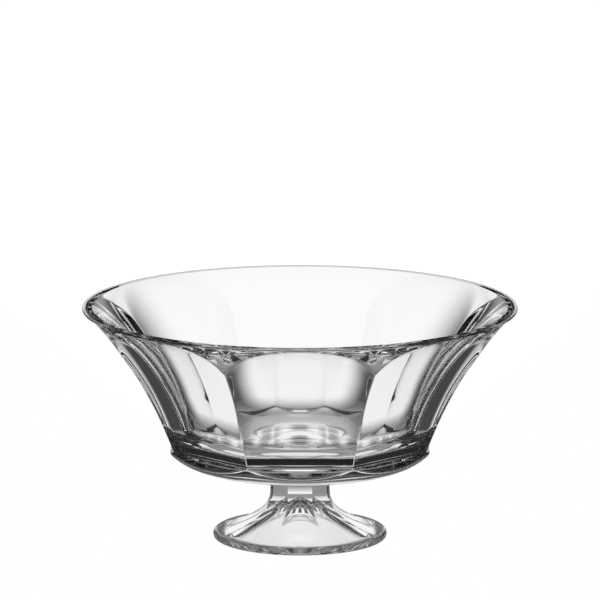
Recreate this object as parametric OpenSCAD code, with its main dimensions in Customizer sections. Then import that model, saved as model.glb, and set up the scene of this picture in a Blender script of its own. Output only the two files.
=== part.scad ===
// Footed trifle bowl in clear pressed glass.
// A flared bowl with flat panels stands on a panelled stem with a round, hollow foot.
// Millimetres, +Z up. The origin is the middle of the ring that the foot stands on,
// and the middle of one panel faces -Y.

/* [Panels] */
// Number of flat panels round the bowl and round the pedestal
panel_count = 8; // [6:1:10]

/* [Rim] */
// Outside diameter of the rim
rim_d = 250; // [230:1:280]
// Width of the flat edge on top of the rim
rim_edge_w = 4.5; // [3:0.1:6]
// Rounding between the rim's flat edge and the inside
mouth_round = 2; // [1:0.1:3]
// Height of the round lip above the panels
lip_h = 1.4; // [1.2:0.1:2.4]

/* [Bowl outside] */
// Height of the bowl from its underside to the rim
bowl_h = 92.6; // [84:0.2:112]
// Outward lean of the panels above the band, in degrees
panel_base_lean = 20; // [16:0.5:24]
// How far the panels follow that lean before they flare
panel_base_pull = 52.3; // [40:0.1:58]
// How far the panels stay inside the rim where they run out under the lip
panel_rim_inset = 1.6; // [1.4:0.1:3]
// Outward lean of the panels just under the lip, in degrees
panel_rim_lean = 73.5; // [66:0.5:76]
// How far down the panels follow that lean
panel_rim_pull = 13; // [8:0.1:18]
// How far the round flare between the panels stays inside the rim under the lip
flare_inset = 1.9; // [1.7:0.1:2.8]
// Outward lean of the round flare just under the lip, in degrees
flare_lean = 41; // [36:1:44]
// Radius of the round flare, seen from the side
flare_radius = 98; // [80:1:104]

/* [Bowl base] */
// Height of the band's upper edge above the underside
band_h = 11.4; // [10:0.2:12.8]
// Width across opposite facets of the band at its upper edge
band_flats = 148.6; // [142:0.2:152]
// Outward lean of the band's facets, in degrees
band_lean = 3; // [1:0.5:5]
// How far the panels are set in above the band
step_in = 2; // [1:0.1:2.6]
// Height of the slope from the band's edge to the panels
step_h = 2; // [1:0.1:3]
// Diameter of the flat middle of the underside
underside_d = 109; // [104:1:114]
// Rounding from that flat middle up to the band
underside_round = 30.4; // [29:0.2:36]

/* [Bowl inside] */
// Thickness of glass under the well's floor
floor_t = 19.2; // [16:0.2:22]
// Thickness of the wall at the middle of a panel, just above the floor
wall_t = 5; // [4:0.1:8]
// Rounding between the floor and the wall
well_round = 17; // [8:1:22]
// Outward lean of the wall above that rounding, in degrees
well_lean = 16; // [10:1:20]
// How far the wall follows that lean before it flares
well_pull = 18; // [12:1:28]
// Outward lean of the inside at the rim, in degrees
mouth_lean = 70; // [64:1:72]
// How far down the inside follows that lean
mouth_pull = 20; // [14:1:24]

/* [Joint] */
// Diameter of the glass wafer that joins the bowl to the stem
wafer_d = 20; // [12:1:30]
// Thickness of the wafer
wafer_t = 0.6; // [0.4:0.1:2]

/* [Stem] */
// Height of the pedestal from the table to the stem's top
pedestal_h = 42.4; // [38:0.2:70]
// Width across opposite panels at the stem's top
stem_top_flats = 33.2; // [30:0.2:38]
// Width across opposite panels where the stem starts to flare
stem_flats = 34.4; // [31:0.2:40]
// Height of the point where the stem starts to flare
stem_flare_z = 25; // [22:0.5:32]
// How far the stem stays upright below that point
stem_pull = 8; // [5:0.5:11]

/* [Foot] */
// Diameter of the round foot
foot_d = 100.2; // [92:0.2:120]
// Thickness of the foot's round edge
foot_edge_h = 4.7; // [4.6:0.1:6]
// Rounding of the foot's upper edge
foot_round = 2.4; // [1.4:0.1:2.4]
// Rounding of the foot's lower edge
foot_base_round = 2.1; // [1:0.1:2.1]
// How far the panels stay inside the foot's edge
foot_panel_inset = 4.6; // [3.5:0.1:7]
// Outward lean of the panels where they reach the foot's edge, in degrees
foot_lean = 72; // [64:1:76]
// How far the panels follow that lean
foot_pull = 20; // [12:1:22]
// Width of the flat ring that the foot stands on
foot_ring_w = 5.8; // [4:0.1:8]
// Height of the hollow under the foot
hollow_h = 24.4; // [18:0.2:27]
// Rise of the hollow at the foot's ring, in degrees
hollow_rise = 16; // [11:0.5:20]
// How far the hollow follows that rise
hollow_pull = 31; // [24:0.5:33]
// Half width of the hollow's rounded crown
hollow_crown = 9; // [5:0.5:11]

/* [Hidden] */
$fn = 96;
// Straight steps that stand for one curve
steps = 14;
// Angle from one panel to the next
panel_turn = 360 / panel_count;

rim_r = rim_d / 2;
lip_z = bowl_h - lip_h;
// The lip's outer edge is half round
rim_round = lip_h / 2;
band_r = band_flats / 2;
panel_base_r = band_r - step_in;
panel_base_z = band_h + step_h;
panel_rim_r = rim_r - panel_rim_inset;
flare_r = rim_r - flare_inset;
mouth_r = rim_r - rim_round - rim_edge_w;

wafer_z = pedestal_h;
bowl_z = wafer_z + wafer_t;

foot_r = foot_d / 2;
foot_panel_r = foot_r - foot_panel_inset;
// The panels reach down into the foot's round edge
foot_panel_z = foot_edge_h * 5 / 6;
foot_ring_r = foot_r - foot_base_round - foot_ring_w;

// A unit step that leans outward from upright by the given angle
function leaning(lean) = [sin(lean), cos(lean)];

// Points along a curve from a to d that starts towards b and arrives from c
function curve(a, b, c, d) =
    [for (i = [0 : steps])
        let (t = i / steps, s = 1 - t)
        s * s * s * a + 3 * s * s * t * b + 3 * s * t * t * c + t * t * t * d];

// Points along an arc
function arc(middle, radius, from, to) =
    [for (i = [0 : steps])
        let (a = from + (to - from) * i / steps)
        middle + radius * [cos(a), sin(a)]];

// Points of a side view that leans at both ends, from low to high
function flared(low, low_lean, low_pull, high, high_lean, high_pull) =
    curve(low, low + low_pull * leaning(low_lean), high - high_pull * leaning(high_lean), high);

// A solid with flat sides: the side view's points give each panel's distance from the axis by height
module panelled(side) {
    reach = rim_d;
    low = side[0].y;
    high = side[len(side) - 1].y;
    outline = concat([[-reach, low]], side, [[-reach, high]]);
    intersection_for (i = [0 : panel_count - 1])
        rotate(i * panel_turn - 90)
            rotate([90, 0, 0])
                linear_extrude(2 * reach, center = true)
                    polygon(outline);
}

// A turned solid: the side view's points, closed along the axis
module turned(side) {
    low = side[0].y;
    high = side[len(side) - 1].y;
    rotate_extrude()
        polygon(concat([[0, low]], side, [[0, high]]));
}

// Side view of the faceted outside: the band, which runs on below the underside, and the panels
band_drop = band_h * 2;
bowl_panels = concat(
    [[band_r - band_drop * tan(band_lean), band_h - band_drop],
     [band_r, band_h]],
    flared(
        [panel_base_r, panel_base_z], panel_base_lean, panel_base_pull,
        [panel_rim_r, lip_z], panel_rim_lean, panel_rim_pull),
    [[panel_rim_r, bowl_h - rim_round]]);

// The round flare under the lip is an arc whose middle lies outside the glass
flare_middle = [flare_r, lip_z] + flare_radius * [cos(flare_lean), -sin(flare_lean)];
flare_arc = arc(flare_middle, flare_radius, 180, 180 - flare_lean);

// Side view of the round blank: its underside rounds off the band, its flare cuts off the ridges
underside_turn = 75;
bowl_blank = concat(
    arc([underside_d / 2, underside_round], underside_round, -90, underside_turn - 90),
    flare_arc,
    [[flare_r, bowl_h - rim_round]]);

// Side view of the round lip, which is flat below
bowl_lip = arc([rim_r - rim_round, bowl_h - rim_round], rim_round, -90, 90);

// Side view of the well: floor, rounding, flared wall and rounded mouth
well_wall_rise = well_round * (1 - sin(well_lean));
well_wall_z = floor_t + well_wall_rise;
well_r = lookup(well_wall_z, [for (point = bowl_panels) [point.y, point.x]]) - wall_t;
well_middle = [well_r - well_round * cos(well_lean), floor_t + well_round];
mouth_middle = [mouth_r, bowl_h - mouth_round];
mouth_arc = arc(mouth_middle, mouth_round, 180 - mouth_lean, 90);
bowl_well = concat(
    arc(well_middle, well_round, -90, -well_lean),
    flared([well_r, well_wall_z], well_lean, well_pull, mouth_arc[0], mouth_lean, mouth_pull),
    mouth_arc);

// Side view of the pedestal's panels, from the foot up to the stem's top
foot_panels = concat(
    [[foot_panel_r, foot_edge_h / 2]],
    curve(
        [foot_panel_r, foot_panel_z],
        [foot_panel_r, foot_panel_z] + foot_pull * [-sin(foot_lean), cos(foot_lean)],
        [stem_flats / 2, stem_flare_z - stem_pull],
        [stem_flats / 2, stem_flare_z]),
    [[stem_top_flats / 2, pedestal_h]]);

// Side view of the foot's round edge
foot_edge = concat(
    arc([foot_r - foot_base_round, foot_base_round], foot_base_round, -90, 0),
    arc([foot_r - foot_round, foot_edge_h - foot_round], foot_round, 0, 90));

// Side view of the hollow under the foot
foot_hollow = curve(
    [foot_ring_r, 0],
    [foot_ring_r, 0] + hollow_pull * [-cos(hollow_rise), sin(hollow_rise)],
    [hollow_crown, hollow_h],
    [0, hollow_h]);

// The vessel: panels and a faceted band outside, trimmed to a round blank, a round lip and a turned well
module bowl() {
    color([0.92, 0.94, 0.93, 0.45])
        translate([0, 0, bowl_z])
            difference() {
                union() {
                    intersection() {
                        panelled(bowl_panels);
                        turned(bowl_blank);
                    }
                    turned(bowl_lip);
                }
                turned(bowl_well);
            }
}

// The clear joint between the stem's top and the bowl's underside
module joint_wafer() {
    color([0.95, 0.96, 0.95, 0.6])
        translate([0, 0, wafer_z])
            cylinder(d = wafer_d, h = wafer_t);
}

// The stem and the foot, pressed as one piece and hollow underneath
module pedestal_foot() {
    color([0.9, 0.92, 0.91, 0.5])
        difference() {
            union() {
                panelled(foot_panels);
                turned(foot_edge);
            }
            turned(foot_hollow);
        }
}

bowl();
joint_wafer();
pedestal_foot();
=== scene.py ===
# %% [markdown]
# A pressed-glass trifle bowl on a pedestal foot: an eight-sided bowl with a round well, a clear
# joint and a hollow eight-sided foot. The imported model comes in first, as a fixed frame in
# metres, and its box is kept, because the finished pieces have to stay inside it.

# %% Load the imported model
import math

import bmesh
import bpy
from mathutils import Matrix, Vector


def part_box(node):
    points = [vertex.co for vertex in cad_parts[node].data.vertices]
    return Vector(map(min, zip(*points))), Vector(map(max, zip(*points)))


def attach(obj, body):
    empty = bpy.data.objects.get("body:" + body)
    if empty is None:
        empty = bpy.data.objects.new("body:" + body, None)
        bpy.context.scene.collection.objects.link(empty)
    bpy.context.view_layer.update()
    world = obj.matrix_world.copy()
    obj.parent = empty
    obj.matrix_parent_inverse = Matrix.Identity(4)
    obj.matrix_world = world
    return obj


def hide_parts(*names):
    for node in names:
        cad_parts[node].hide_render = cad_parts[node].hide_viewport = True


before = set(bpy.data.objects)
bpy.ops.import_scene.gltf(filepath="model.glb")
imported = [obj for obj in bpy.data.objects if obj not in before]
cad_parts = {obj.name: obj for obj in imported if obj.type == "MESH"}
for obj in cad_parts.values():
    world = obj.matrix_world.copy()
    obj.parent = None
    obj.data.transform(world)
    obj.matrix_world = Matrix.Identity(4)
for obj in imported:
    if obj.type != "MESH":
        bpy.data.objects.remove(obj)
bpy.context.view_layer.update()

scene = bpy.context.scene

# %% [markdown]
# The photograph was taken from a long way off, slightly above the rim, so the rim is a flat
# ellipse and both sides lean by the same amount. A long lens on a camera 3.6 m away gives that
# view. The camera only looks down; it is neither turned nor shifted.

# %% Camera
CAMERA_AWAY = 3.6
CAMERA_HEIGHT = 0.85103
CAMERA_PITCH = math.radians(11.187)
SENSOR_WIDTH = 36
LENS = 383.9

camera = bpy.data.objects.new("camera", bpy.data.cameras.new("camera"))
scene.collection.objects.link(camera)
camera.location = (0, -CAMERA_AWAY, CAMERA_HEIGHT)
camera.rotation_euler = (math.pi / 2 - CAMERA_PITCH, 0, 0)
camera.data.sensor_width = SENSOR_WIDTH
camera.data.lens = LENS
camera.data.clip_end = 100
scene.camera = camera
print("camera at", list(camera.location), "lens", LENS)

# %% [markdown]
# Clear glass has no colour of its own: it shows what stands round it, bent. The photograph has a
# white ground, and yet the glass has dark lines, because only part of the studio is bright. So the
# camera sees a plain pale floor and room, while the glass sees a dim studio with soft lights. The
# floor and the room turn with the camera, as a photographer turns the bowl and not the studio.

# %% Shader helpers
def add_node(tree, kind, **settings):
    """Adds a shader node, sets its properties, and sets inputs given by name with underscores."""
    node = tree.nodes.new(kind)
    for name, value in settings.items():
        if hasattr(node, name):
            setattr(node, name, value)
        else:
            node.inputs[name.replace("_", " ")].default_value = value
    return node


def combine(tree, operation, *values):
    """Combines sockets or numbers with one arithmetic node."""
    node = add_node(tree, "ShaderNodeMath", operation=operation)
    for socket, value in zip(node.inputs, values):
        if isinstance(value, bpy.types.NodeSocket):
            tree.links.new(value, socket)
        else:
            socket.default_value = value
    return node.outputs["Value"]


def fade(tree, value, start, end, low, high):
    """Soft change from one level to another while a value goes from start to end."""
    node = add_node(tree, "ShaderNodeMapRange", interpolation_type="SMOOTHSTEP")
    numbers = (start, end, low, high)
    for name, number in zip(("From Min", "From Max", "To Min", "To Max"), numbers):
        node.inputs[name].default_value = number
    tree.links.new(value, node.inputs["Value"])
    return node.outputs["Result"]


print("shader helpers:", add_node.__name__, combine.__name__, fade.__name__)


# %% Stage helpers
def place_on_stage(name, shape):
    """Makes a part of the studio from a shape and lets it turn with the camera."""
    mesh = bpy.data.meshes.new(name)
    shape.to_mesh(mesh)
    shape.free()
    part = bpy.data.objects.new(name, mesh)
    scene.collection.objects.link(part)
    turn = part.constraints.new("LOCKED_TRACK")
    turn.target = camera
    turn.track_axis = "TRACK_NEGATIVE_Y"
    turn.lock_axis = "LOCK_Z"
    return part


def light_up(part, level):
    """Gives a part of the studio a white face for the camera and soft lights for the glass."""
    material = bpy.data.materials.new(part.name)
    material.use_nodes = True
    tree = material.node_tree
    tree.nodes.clear()
    place = add_node(tree, "ShaderNodeTexCoord").outputs["Object"]
    seen = add_node(tree, "ShaderNodeLightPath").outputs["Is Camera Ray"]
    shown = combine(tree, "MAXIMUM", seen, level(tree, place))
    glow = add_node(tree, "ShaderNodeEmission")
    clear = add_node(tree, "ShaderNodeBsdfTransparent")
    behind = add_node(tree, "ShaderNodeNewGeometry").outputs["Backfacing"]
    faces = add_node(tree, "ShaderNodeMixShader")
    out = add_node(tree, "ShaderNodeOutputMaterial")
    tree.links.new(shown, glow.inputs["Strength"])
    tree.links.new(behind, faces.inputs["Fac"])
    tree.links.new(glow.outputs["Emission"], faces.inputs[1])
    tree.links.new(clear.outputs["BSDF"], faces.inputs[2])
    tree.links.new(faces.outputs["Shader"], out.inputs["Surface"])
    part.data.materials.append(material)


print("stage helpers:", place_on_stage.__name__, light_up.__name__)

# %% [markdown]
# The floor is dim, with a pool of light behind the bowl. The pool is a fan: it starts a hand's breadth
# behind the foot, fades out to both sides and ends four metres away. Most of what the bowl's wall shows
# is this pool, so its soft edges become the dark streaks beside the ridges. Two small bright patches,
# under the hollow foot and just behind it, stand for the light that clear glass gathers on a table. A
# wider, weaker patch below the whole bowl keeps the glass clear when it is looked into from above.

# %% Floor
STUDIO_RADIUS = 6
STUDIO_SEGMENTS = 96
FLOOR_DROP = 0.0003
FLOOR_SHADE = 0.06
POOL_LIGHT = 1.06
POOL_SIDES = (math.radians(11.8), math.radians(42.6))
POOL_NEAR = (0.082, 0.229)
POOL_FAR = (1.83, 3.97)
UNDER_LIGHT = 0.9
UNDER_EDGE = (0.040, 0.048)
NEAR_LIGHT = 0.28
NEAR_EDGE = (0.115, 0.175)
GLOW_LIGHT = 0.95
GLOW_SIDES = (math.radians(5), math.radians(9))
GLOW_NEAR = (0.075, 0.090)
GLOW_FAR = (0.105, 0.130)


def direction(tree, place):
    """Angle between a place and the direction behind the bowl, seen from above."""
    split = add_node(tree, "ShaderNodeSeparateXYZ")
    tree.links.new(place, split.inputs["Vector"])
    return combine(tree, "ARCTAN2", combine(tree, "ABSOLUTE", split.outputs["X"]), split.outputs["Y"])


def floor_level(tree, place):
    """Light of the floor at a place."""
    length = add_node(tree, "ShaderNodeVectorMath", operation="LENGTH")
    tree.links.new(place, length.inputs[0])
    away = length.outputs["Value"]
    side = direction(tree, place)
    pool = fade(tree, side, *POOL_SIDES, POOL_LIGHT - FLOOR_SHADE, 0)
    pool = combine(tree, "MULTIPLY", pool, fade(tree, away, *POOL_NEAR, 0, 1))
    pool = combine(tree, "MULTIPLY", pool, fade(tree, away, *POOL_FAR, 1, 0))
    glow = fade(tree, side, *GLOW_SIDES, GLOW_LIGHT - FLOOR_SHADE, 0)
    glow = combine(tree, "MULTIPLY", glow, fade(tree, away, *GLOW_NEAR, 0, 1))
    glow = combine(tree, "MULTIPLY", glow, fade(tree, away, *GLOW_FAR, 1, 0))
    under = fade(tree, away, *UNDER_EDGE, UNDER_LIGHT - FLOOR_SHADE, 0)
    near = fade(tree, away, *NEAR_EDGE, NEAR_LIGHT - FLOOR_SHADE, 0)
    brightest = pool
    for light in (glow, under, near):
        brightest = combine(tree, "MAXIMUM", brightest, light)
    return combine(tree, "ADD", brightest, FLOOR_SHADE)


floor_shape = bmesh.new()
bmesh.ops.create_circle(floor_shape, cap_ends=True, segments=STUDIO_SEGMENTS, radius=STUDIO_RADIUS)
floor = place_on_stage("studio_floor", floor_shape)
floor.location.z = -FLOOR_DROP
light_up(floor, floor_level)
print("floor with a pool of light from", POOL_NEAR[0], "to", POOL_FAR[1], "m behind the bowl")

# %% [markdown]
# The room is a half dome on the floor's edge. It has two tall soft lights behind the bowl, with a dark
# gap between them that keeps the thick base dark, and one small, weak light higher up that the foot
# and the rim pick up. A dome is used and not lamps, because glass shows the lights' shapes and edges.

# %% Room
ROOM_SHADE = 0.004
TALL_LIGHT = 1.1
TALL_SIDES = (math.radians(11), math.radians(20))
TALL_GAP = (math.radians(2.5), math.radians(10))
TALL_TOPS = (math.sin(math.radians(22.5)), math.sin(math.radians(28.1)))
HIGH_LIGHT = 0.18
HIGH_RISE = math.radians(50)
HIGH_EDGE = (math.cos(math.radians(17)), math.cos(math.radians(8)))


def room_level(tree, place):
    """Light of the room in a direction."""
    way = add_node(tree, "ShaderNodeVectorMath", operation="NORMALIZE")
    tree.links.new(place, way.inputs[0])
    split = add_node(tree, "ShaderNodeSeparateXYZ")
    tree.links.new(way.outputs["Vector"], split.inputs["Vector"])
    side = direction(tree, place)
    tall = fade(tree, side, *TALL_SIDES, TALL_LIGHT, 0)
    tall = combine(tree, "MULTIPLY", tall, fade(tree, side, *TALL_GAP, 0, 1))
    tall = combine(tree, "MULTIPLY", tall, fade(tree, split.outputs["Z"], *TALL_TOPS, 1, 0))
    turned = add_node(tree, "ShaderNodeVectorMath", operation="DOT_PRODUCT")
    turned.inputs[1].default_value = (0, math.cos(HIGH_RISE), math.sin(HIGH_RISE))
    tree.links.new(way.outputs["Vector"], turned.inputs[0])
    high = fade(tree, turned.outputs["Value"], *HIGH_EDGE, ROOM_SHADE, HIGH_LIGHT)
    return combine(tree, "ADD", tall, high)


room_shape = bmesh.new()
bmesh.ops.create_uvsphere(
    room_shape, u_segments=STUDIO_SEGMENTS, v_segments=STUDIO_SEGMENTS // 2, radius=STUDIO_RADIUS,
)
low = [vert for vert in room_shape.verts if vert.co.z < -FLOOR_DROP]
bmesh.ops.delete(room_shape, geom=low, context="VERTS")
bmesh.ops.reverse_faces(room_shape, faces=room_shape.faces)
room = place_on_stage("studio_room", room_shape)
light_up(room, room_level)
print("room with", len(room.data.polygons), "faces")

# %% [markdown]
# Light passes many walls of glass before it reaches the camera, so it is followed through more bounces
# than usual. With too few, the ridges and the thick base would turn black.

# %% Light paths
GLASS_BOUNCES = 24
GLOSS_BOUNCES = 16

world = bpy.data.worlds.new("studio")
world.use_nodes = True
world.node_tree.nodes["Background"].inputs["Color"].default_value = (1, 1, 1, 1)
scene.world = world
scene.view_settings.view_transform = "Standard"
scene.cycles.max_bounces = GLASS_BOUNCES
scene.cycles.transmission_bounces = GLASS_BOUNCES
scene.cycles.glossy_bounces = GLOSS_BOUNCES
scene.cycles.use_denoising = True
print("light is followed through", GLASS_BOUNCES, "bounces")

# %% [markdown]
# Pressed glass is clear and colourless, and fire polish leaves it glossy. The mould still shows as
# a slow waviness, about a hundredth of a millimetre deep, and the ring that the foot stands on is
# lightly scuffed. So the glass is a plain clear shader, with constant values on its own sockets,
# and two quiet details: a long soft bump, and a roughness that rises only at the resting ring.

# %% Glass
GLASS_IOR = 1.52
WAVE_SCALE = 22
WAVE_HEIGHT = 0.00001
GRAIN_SCALE = 60
POLISH = 0.0
POLISH_SPREAD = 0.001
SCUFF = 0.10
SCUFF_HEIGHT = 0.0006


def make_glass(name):
    """Makes clear pressed glass with slow mould waves and a scuffed resting ring."""
    material = bpy.data.materials.new(name)
    material.use_nodes = True
    tree = material.node_tree
    link = tree.links.new
    shader = tree.nodes["Principled BSDF"]
    shader.inputs["Base Color"].default_value = (1, 1, 1, 1)
    shader.inputs["IOR"].default_value = GLASS_IOR
    shader.inputs["Transmission Weight"].default_value = 1.0
    place = add_node(tree, "ShaderNodeTexCoord")
    waves = add_node(tree, "ShaderNodeTexNoise", Scale=WAVE_SCALE, Detail=1.0)
    bump = add_node(tree, "ShaderNodeBump", Strength=1.0, Distance=WAVE_HEIGHT)
    grain = add_node(tree, "ShaderNodeTexNoise", Scale=GRAIN_SCALE, Detail=2.0)
    polish = add_node(tree, "ShaderNodeMapRange")
    polish.inputs["From Min"].default_value = 0.5
    polish.inputs["To Min"].default_value = POLISH
    polish.inputs["To Max"].default_value = POLISH_SPREAD
    height = add_node(tree, "ShaderNodeSeparateXYZ")
    scuff = add_node(tree, "ShaderNodeMapRange", interpolation_type="SMOOTHSTEP")
    scuff.inputs["From Max"].default_value = SCUFF_HEIGHT
    scuff.inputs["To Min"].default_value = SCUFF
    scuff.inputs["To Max"].default_value = 0.0
    rough = add_node(tree, "ShaderNodeMath", operation="ADD")
    link(place.outputs["Object"], waves.inputs["Vector"])
    link(place.outputs["Object"], grain.inputs["Vector"])
    link(place.outputs["Object"], height.inputs["Vector"])
    link(waves.outputs["Fac"], bump.inputs["Height"])
    link(bump.outputs["Normal"], shader.inputs["Normal"])
    link(grain.outputs["Fac"], polish.inputs["Value"])
    link(height.outputs["Z"], scuff.inputs["Value"])
    link(polish.outputs["Result"], rough.inputs[0])
    link(scuff.outputs["Result"], rough.inputs[1])
    link(rough.outputs["Value"], shader.inputs["Roughness"])
    return material


pressed_glass = make_glass("pressed_glass")
joint_glass = make_glass("joint_glass")
print("glass with IOR", GLASS_IOR)

# %% [markdown]
# Every piece was turned in a round mould, apart from the flat panels, so each one starts as a side
# view: points of radius and height, in millimetres, from the middle out and back to the middle.
# Curves come from three helpers: a direction that leans outwards, an arc, and a smooth bend
# between two points whose directions are known.

# %% Side view helpers
MM = 0.001
PANELS = 8
HALF_PANEL = math.pi / PANELS
FINE_STEPS = 60
CURVE_STEPS = 40
EDGE_STEPS = 12
SMALL_STEPS = 8


def leaning(angle):
    """Direction in the side view that leans outwards from the upright."""
    return math.sin(math.radians(angle)), math.cos(math.radians(angle))


def bend(a, b, c, d, steps):
    """Smooth bend from a to d that leaves towards b and arrives from c."""
    points = []
    for i in range(steps + 1):
        t = i / steps
        parts = ((1 - t) ** 3, 3 * t * (1 - t) ** 2, 3 * t * t * (1 - t), t ** 3)
        points.append(tuple(sum(w * p[k] for w, p in zip(parts, (a, b, c, d))) for k in (0, 1)))
    return points


def flared(low, low_lean, low_pull, high, high_lean, high_pull, steps):
    """Smooth bend between two points, with a lean and a pull at each end."""
    u, v = leaning(low_lean), leaning(high_lean)
    leave = (low[0] + low_pull * u[0], low[1] + low_pull * u[1])
    arrive = (high[0] - high_pull * v[0], high[1] - high_pull * v[1])
    return bend(low, leave, arrive, high, steps)


def arc(centre, radius, start, end, steps):
    """Arc round a centre, from one angle to another."""
    angles = [math.radians(start + (end - start) * i / steps) for i in range(steps + 1)]
    return [(centre[0] + radius * math.cos(a), centre[1] + radius * math.sin(a)) for a in angles]


def radius_at(side, z):
    """Radius of a rising side view at a height."""
    if z <= side[0][1]:
        return side[0][0]
    for (r0, z0), (r1, z1) in zip(side, side[1:]):
        if z0 <= z <= z1:
            return r0 if z1 == z0 else r0 + (r1 - r0) * (z - z0) / (z1 - z0)
    return side[-1][0]


print("panels:", PANELS)

# %% [markdown]
# A panelled piece could be cut from a round one with planes, but the panels are curved and the
# ridges between them are softly rounded by the fire polish. So the side view is spun all the way
# round, and then the rows that belong to a panelled wall are pressed in towards the axis, as the
# mould presses the glass. The spin's steps are crowded towards the ridges, where the shape turns.

# %% Panels and ridges
STEPS_PER_PANEL = 36
RIDGE_SHARP = 420


def ridge_crowded(step):
    """Direction of a spin step, crowded towards the ridges on both sides of each panel."""
    panel, part = divmod(step, STEPS_PER_PANEL)
    across = 2 * part / STEPS_PER_PANEL - 1
    return HALF_PANEL * (2 * panel + math.sin(across * math.pi / 2))


def panel_reach(flat, turn):
    """Distance from the axis to a ring of flat panels with soft ridges, in one direction."""
    local = (turn + HALF_PANEL) % (2 * HALF_PANEL) - HALF_PANEL
    sides = (local - 2 * HALF_PANEL, local, local + 2 * HALF_PANEL)
    total = sum(max(math.cos(side), 0) ** RIDGE_SHARP for side in sides)
    return flat / total ** (1 / RIDGE_SHARP)


print("a ridge reaches", round(panel_reach(1, HALF_PANEL), 4), "times as far as the middle of a panel")

# %% Press
MERGE_DISTANCE = 1e-6


def press(name, side, base, reach, material, node):
    """Spins a side view, presses its rows to their reach, and makes the piece that stands for a node.

    Each point of the side view is (radius, height, kind); reach gives the distance from the axis
    for a kind, a radius, a height and a direction. Base is the height that the piece stands at.
    """
    shape = bmesh.new()
    row = shape.verts.layers.int.new("row")
    line = []
    for i, (r, z, kind) in enumerate(side):
        vert = shape.verts.new((r * MM, 0, z * MM))
        vert[row] = i
        line.append(vert)
    edges = [shape.edges.new(pair) for pair in zip(line, line[1:])]
    steps = STEPS_PER_PANEL * PANELS
    bmesh.ops.spin(
        shape, geom=line + edges, cent=(0, 0, 0), axis=(0, 0, 1), dvec=(0, 0, 0),
        angle=math.tau, steps=steps, use_merge=True,
    )
    bmesh.ops.remove_doubles(shape, verts=shape.verts, dist=MERGE_DISTANCE)
    for vert in shape.verts:
        r, z, kind = side[vert[row]]
        step = round(math.atan2(vert.co.y, vert.co.x) / math.tau * steps) % steps
        turn = ridge_crowded(step)
        out = reach(kind, r, z, turn) * MM if r else 0
        vert.co = (out * math.sin(turn), -out * math.cos(turn), (z + base) * MM)
    bmesh.ops.recalc_face_normals(shape, faces=shape.faces)
    if shape.calc_volume(signed=True) < 0:
        bmesh.ops.reverse_faces(shape, faces=shape.faces)
    for face in shape.faces:
        face.smooth = True
    mesh = bpy.data.meshes.new(name)
    shape.to_mesh(mesh)
    shape.free()
    piece = bpy.data.objects.new(name, mesh)
    scene.collection.objects.link(piece)
    mesh.materials.append(material)
    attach(piece, "root")
    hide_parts(node)
    low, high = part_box(node)
    limit = [max(abs(low[k]), abs(high[k])) for k in (0, 1, 2)]
    grown = max(abs(vert.co[k]) - limit[k] for vert in mesh.vertices for k in (0, 1, 2))
    print(name, len(mesh.polygons), "faces, outside its node by", round(max(grown, 0) / MM, 3), "mm")
    return piece


print("spin steps:", STEPS_PER_PANEL * PANELS)

# %% [markdown]
# The bowl's outside is an eight-sided form inside a round one. Above a low band, eight panels are set
# in by two millimetres. They lean out a little and then flare. The round form trims them twice: a
# wide round underside cuts the band in low arches, and a round flare cuts off the ridges below the
# lip, so each panel ends in a low arch under the rim.

# %% Bowl outside
PEDESTAL_H = 42.4
WAFER_T = 0.6
RIM_R = 125
RIM_EDGE = 4.5
LIP_H = 1.4
RIM_ROUND = LIP_H / 2
BOWL_H = 92.6
LIP_Z = BOWL_H - LIP_H
BAND_R = 74.3
BAND_LEAN = 3
BAND_H = 12.4
BAND_SOFT = 1
PANEL_BASE_R = 72.3
PANEL_BASE_LEAN = 20
PANEL_BASE_PULL = 52.3
PANEL_RIM_INSET = 1.6
PANEL_RIM_LEAN = 73.5
PANEL_RIM_PULL = 13
FLARE_INSET = 1.9
FLARE_R = RIM_R - FLARE_INSET
FLARE_LEAN = 41
FLARE_RADIUS = 98
UNDERSIDE_R = 54.5
UNDERSIDE_ROUND = 30.4
UNDERSIDE_TURN = 75

band_low_r = BAND_R - BAND_H * math.tan(math.radians(BAND_LEAN))
bowl_panel = [(band_low_r, 0), (BAND_R, BAND_H - BAND_SOFT)]
bowl_panel += bend(
    (BAND_R, BAND_H - BAND_SOFT), (BAND_R, BAND_H),
    (PANEL_BASE_R, BAND_H), (PANEL_BASE_R, BAND_H + BAND_SOFT), SMALL_STEPS,
)[1:-1]
bowl_panel += flared(
    (PANEL_BASE_R, BAND_H + BAND_SOFT), PANEL_BASE_LEAN, PANEL_BASE_PULL,
    (RIM_R - PANEL_RIM_INSET, LIP_Z), PANEL_RIM_LEAN, PANEL_RIM_PULL, FINE_STEPS,
)
flare_centre = (
    FLARE_R + FLARE_RADIUS * math.cos(math.radians(FLARE_LEAN)),
    LIP_Z - FLARE_RADIUS * math.sin(math.radians(FLARE_LEAN)),
)
underside_centre = (UNDERSIDE_R, UNDERSIDE_ROUND)
bowl_blank = arc(underside_centre, UNDERSIDE_ROUND, -90, UNDERSIDE_TURN - 90, FINE_STEPS)
bowl_blank += arc(flare_centre, FLARE_RADIUS, 180, 180 - FLARE_LEAN, CURVE_STEPS)
print("panel reach at the band", round(radius_at(bowl_panel, BAND_H), 2), "mm")

# %% [markdown]
# The inside is a plain round well, smooth so that a spoon can follow it. It has a flat floor, a
# round corner and a wall about 5 mm inside the panels. The bend of its wall near the mouth follows
# the panels outside, because a wall of even thickness shows what is behind it without dark streaks.
# The plunger that pressed the well left faint rings on its floor, a tenth of a millimetre high. They
# are made as geometry, in the rows of the floor, and bend the light there into nested ovals.

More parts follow.
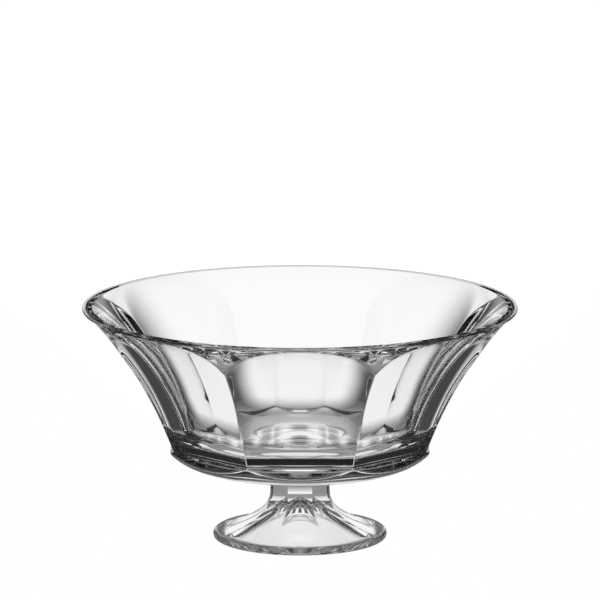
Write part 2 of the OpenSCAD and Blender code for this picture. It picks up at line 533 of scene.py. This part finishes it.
# %% Bowl inside
FLOOR_T = 19.2
WALL_T = 5
WELL_ROUND = 17
WELL_LEAN = 16
WELL_PULL = 18
WELL_STEPS = 18
RING_H = 0.1
RING_COUNT = 3
MOUTH_ROUND = 2
MOUTH_LEAN = 70
MOUTH_PULL = 20

well_rise = WELL_ROUND * (1 - math.sin(math.radians(WELL_LEAN)))
well_r = radius_at(bowl_panel, FLOOR_T + well_rise) - WALL_T
well_centre = (well_r - WELL_ROUND * math.cos(math.radians(WELL_LEAN)), FLOOR_T + WELL_ROUND)
mouth_centre = (RIM_R - RIM_ROUND - RIM_EDGE, BOWL_H - MOUTH_ROUND)
mouth = arc(mouth_centre, MOUTH_ROUND, 180 - MOUTH_LEAN, 90, SMALL_STEPS)
well = arc(well_centre, WELL_ROUND, -90, -WELL_LEAN, WELL_STEPS)[:-1]
well += flared(
    (well_r, FLOOR_T + well_rise), WELL_LEAN, WELL_PULL, mouth[0], MOUTH_LEAN, MOUTH_PULL, CURVE_STEPS,
)[:-1]
well += mouth


def floor_height(share):
    """Height of the well's floor at a share of its radius, with rings that fade out to its edge."""
    return FLOOR_T + RING_H * math.cos(share * math.tau * RING_COUNT) * (1 - share * share) ** 2


print("well floor", round(well_centre[0], 1), "mm in radius, mouth", round(mouth_centre[0], 1), "mm")

# %% [markdown]
# The bowl is one closed shell: the side view runs from the middle of the underside, round its edge,
# up the panels, over the rim and down the well to the middle of its floor. Only the rows of the
# outer wall are pressed; all the others stay round.

# %% Bowl reach
SOFT_ARCH = 1.0


def soft_least(a, b):
    """The smaller of two reaches, with a soft change from one to the other."""
    near = max(SOFT_ARCH - abs(a - b), 0) / SOFT_ARCH
    return min(a, b) - near * near * SOFT_ARCH / 4


def bowl_reach(kind, r, z, turn):
    """Reach of one point of the bowl: the panels, or the round form where that is smaller."""
    if kind == "round":
        return r
    wall = soft_least(panel_reach(radius_at(bowl_panel, z), turn), radius_at(bowl_blank, z))
    if kind == "ledge":
        return wall + (RIM_R - RIM_ROUND - wall) * r
    return wall


print("reach under the lip", round(bowl_reach("wall", 1, LIP_Z, 0), 2), "mm at the middle of a panel")

# %% Bowl rows
UNDERSIDE_ROWS = 10
EDGE_ROWS = 24
STEP_ROWS = 6
WALL_ROWS = 64
WALL_CROWD = 1.5
LEDGE_SHARES = (0.06, 0.35, 0.65, 0.94)
RIM_STEPS = 16
FLOOR_ROWS = 80

band_turn = math.degrees(math.acos(1 - (BAND_H - BAND_SOFT) / UNDERSIDE_ROUND))
edge = arc(underside_centre, UNDERSIDE_ROUND, -90, band_turn - 90, EDGE_ROWS)
step_heights = [BAND_H - BAND_SOFT + 2 * BAND_SOFT * i / STEP_ROWS for i in range(1, STEP_ROWS + 1)]
wall_low = step_heights[-1]
wall_shares = [(1 - i / WALL_ROWS) ** WALL_CROWD for i in range(1, WALL_ROWS + 1)]
wall_heights = [LIP_Z + (wall_low - LIP_Z) * share for share in wall_shares]
rim = arc((RIM_R - RIM_ROUND, BOWL_H - RIM_ROUND), RIM_ROUND, -90, 90, RIM_STEPS)
rim_end = rim[-1][0]
floor_shares = [i / FLOOR_ROWS for i in range(FLOOR_ROWS - 1, -1, -1)]
print("rows of the outer wall:", len(edge) + len(step_heights) + len(wall_heights))

# %% Bowl
bowl_side = [(UNDERSIDE_R * i / UNDERSIDE_ROWS, 0, "round") for i in range(UNDERSIDE_ROWS)]
bowl_side += [(1, z, "wall") for r, z in edge]
bowl_side += [(1, z, "wall") for z in step_heights + wall_heights]
bowl_side += [(share, LIP_Z, "ledge") for share in LEDGE_SHARES]
bowl_side += [(r, z, "round") for r, z in rim]
bowl_side += [(rim_end + (mouth_centre[0] - rim_end) * i / 3, BOWL_H, "round") for i in (1, 2)]
bowl_side += [(r, z, "round") for r, z in reversed(well)]
bowl_side += [(well_centre[0] * share, floor_height(share), "round") for share in floor_shares]
bowl = press(
    "glass_bowl", bowl_side, PEDESTAL_H + WAFER_T, bowl_reach,
    pressed_glass, "bowl",
)

# %% [markdown]
# The bowl and the foot were pressed apart and joined by a thin wafer of clear glass, which shows in
# the photograph as a bright ellipse. It reaches a hair into both neighbours, so no film of air is
# left to reflect light where the glass is really joined.

# %% Joint wafer
WAFER_R = 10
JOINED = 0.02

wafer_side = [(WAFER_R * i / 2, -JOINED, "round") for i in (0, 1, 2)]
wafer_side += [(WAFER_R * i / 2, WAFER_T + JOINED, "round") for i in (2, 1, 0)]
wafer = press(
    "glass_joint_wafer", wafer_side, PEDESTAL_H, lambda kind, r, z, turn: r,
    joint_glass, "joint_wafer",
)
for face in wafer.data.polygons:
    face.use_smooth = False

# %% [markdown]
# The foot is one pressing: an eight-sided stem that flares down into eight panels and ends in a
# round disc edge. Underneath, a trumpet-shaped hollow leaves a ring to stand on and a wall of even
# thickness. Here too the side view is spun, and only the rows of the panelled wall are pressed.

# %% Pedestal foot side view
STEM_TOP_R = 16.6
STEM_R = 17.2
STEM_FLARE_Z = 25
STEM_PULL = 8
STEM_ROWS = 10
FOOT_R = 50.1
FOOT_EDGE_H = 4.7
FOOT_ROUND = 2.4
FOOT_BASE_ROUND = 2.1
FOOT_PANEL_INSET = 4.6
FOOT_PANEL_R = FOOT_R - FOOT_PANEL_INSET
FOOT_PANEL_Z = FOOT_EDGE_H * 5 / 6
FOOT_LEAN = 72
FOOT_PULL = 20
FOOT_STEPS = 48

slope = leaning(FOOT_LEAN)
foot_panel = bend(
    (FOOT_PANEL_R, FOOT_PANEL_Z),
    (FOOT_PANEL_R - FOOT_PULL * slope[0], FOOT_PANEL_Z + FOOT_PULL * slope[1]),
    (STEM_R, STEM_FLARE_Z - STEM_PULL), (STEM_R, STEM_FLARE_Z), FOOT_STEPS,
)
stem_r_change = STEM_TOP_R - STEM_R
stem_h = PEDESTAL_H - STEM_FLARE_Z
stem = [
    (STEM_R + stem_r_change * i / STEM_ROWS, STEM_FLARE_Z + stem_h * i / STEM_ROWS)
    for i in range(1, STEM_ROWS + 1)
]
foot_wall = foot_panel + stem
foot_edge = arc((FOOT_R - FOOT_BASE_ROUND, FOOT_BASE_ROUND), FOOT_BASE_ROUND, -90, 0, EDGE_STEPS)
foot_edge += arc((FOOT_R - FOOT_ROUND, FOOT_EDGE_H - FOOT_ROUND), FOOT_ROUND, 0, 90, EDGE_STEPS)
print("stem", 2 * STEM_R, "mm across its panels, foot", 2 * FOOT_R, "mm across")

# %% Hollow under the foot
FOOT_RING_W = 5.8
FOOT_RING_R = FOOT_R - FOOT_BASE_ROUND - FOOT_RING_W
HOLLOW_H = 24.4
HOLLOW_RISE = 16
HOLLOW_PULL = 31
HOLLOW_CROWN = 9

rise = math.radians(HOLLOW_RISE)
hollow = bend(
    (FOOT_RING_R, 0),
    (FOOT_RING_R - HOLLOW_PULL * math.cos(rise), HOLLOW_PULL * math.sin(rise)),
    (HOLLOW_CROWN, HOLLOW_H), (0, HOLLOW_H), CURVE_STEPS,
)
print("hollow", HOLLOW_H, "mm high inside a ring", FOOT_RING_W, "mm wide")

# %% Pedestal foot
FOOT_TOP_ROWS = 8
LEDGE_ROWS = 4


def foot_reach(kind, r, z, turn):
    """Reach of one point of the foot's side view."""
    if kind == "wall":
        return panel_reach(radius_at(foot_wall, z), turn)
    if kind == "ledge":
        outer = FOOT_R - FOOT_ROUND
        return outer + (panel_reach(radius_at(foot_wall, z), turn) - outer) * r
    if kind == "top":
        return panel_reach(STEM_TOP_R, turn) * r
    return r


foot_side = [(r, z, "round") for r, z in reversed(hollow)]
foot_side += [(FOOT_RING_R + (foot_edge[0][0] - FOOT_RING_R) * i / 3, 0, "round") for i in (1, 2)]
foot_side += [(r, z, "round") for r, z in foot_edge]
foot_side += [(i / LEDGE_ROWS, FOOT_EDGE_H, "ledge") for i in range(1, LEDGE_ROWS)]
foot_side += [(1, FOOT_EDGE_H, "wall")]
foot_side += [(1, z, "wall") for r, z in foot_wall if z > FOOT_EDGE_H]
foot_side += [(i / FOOT_TOP_ROWS, PEDESTAL_H, "top") for i in range(FOOT_TOP_ROWS - 1, -1, -1)]
foot = press(
    "glass_pedestal_foot", foot_side, 0, foot_reach,
    pressed_glass, "pedestal_foot",
)
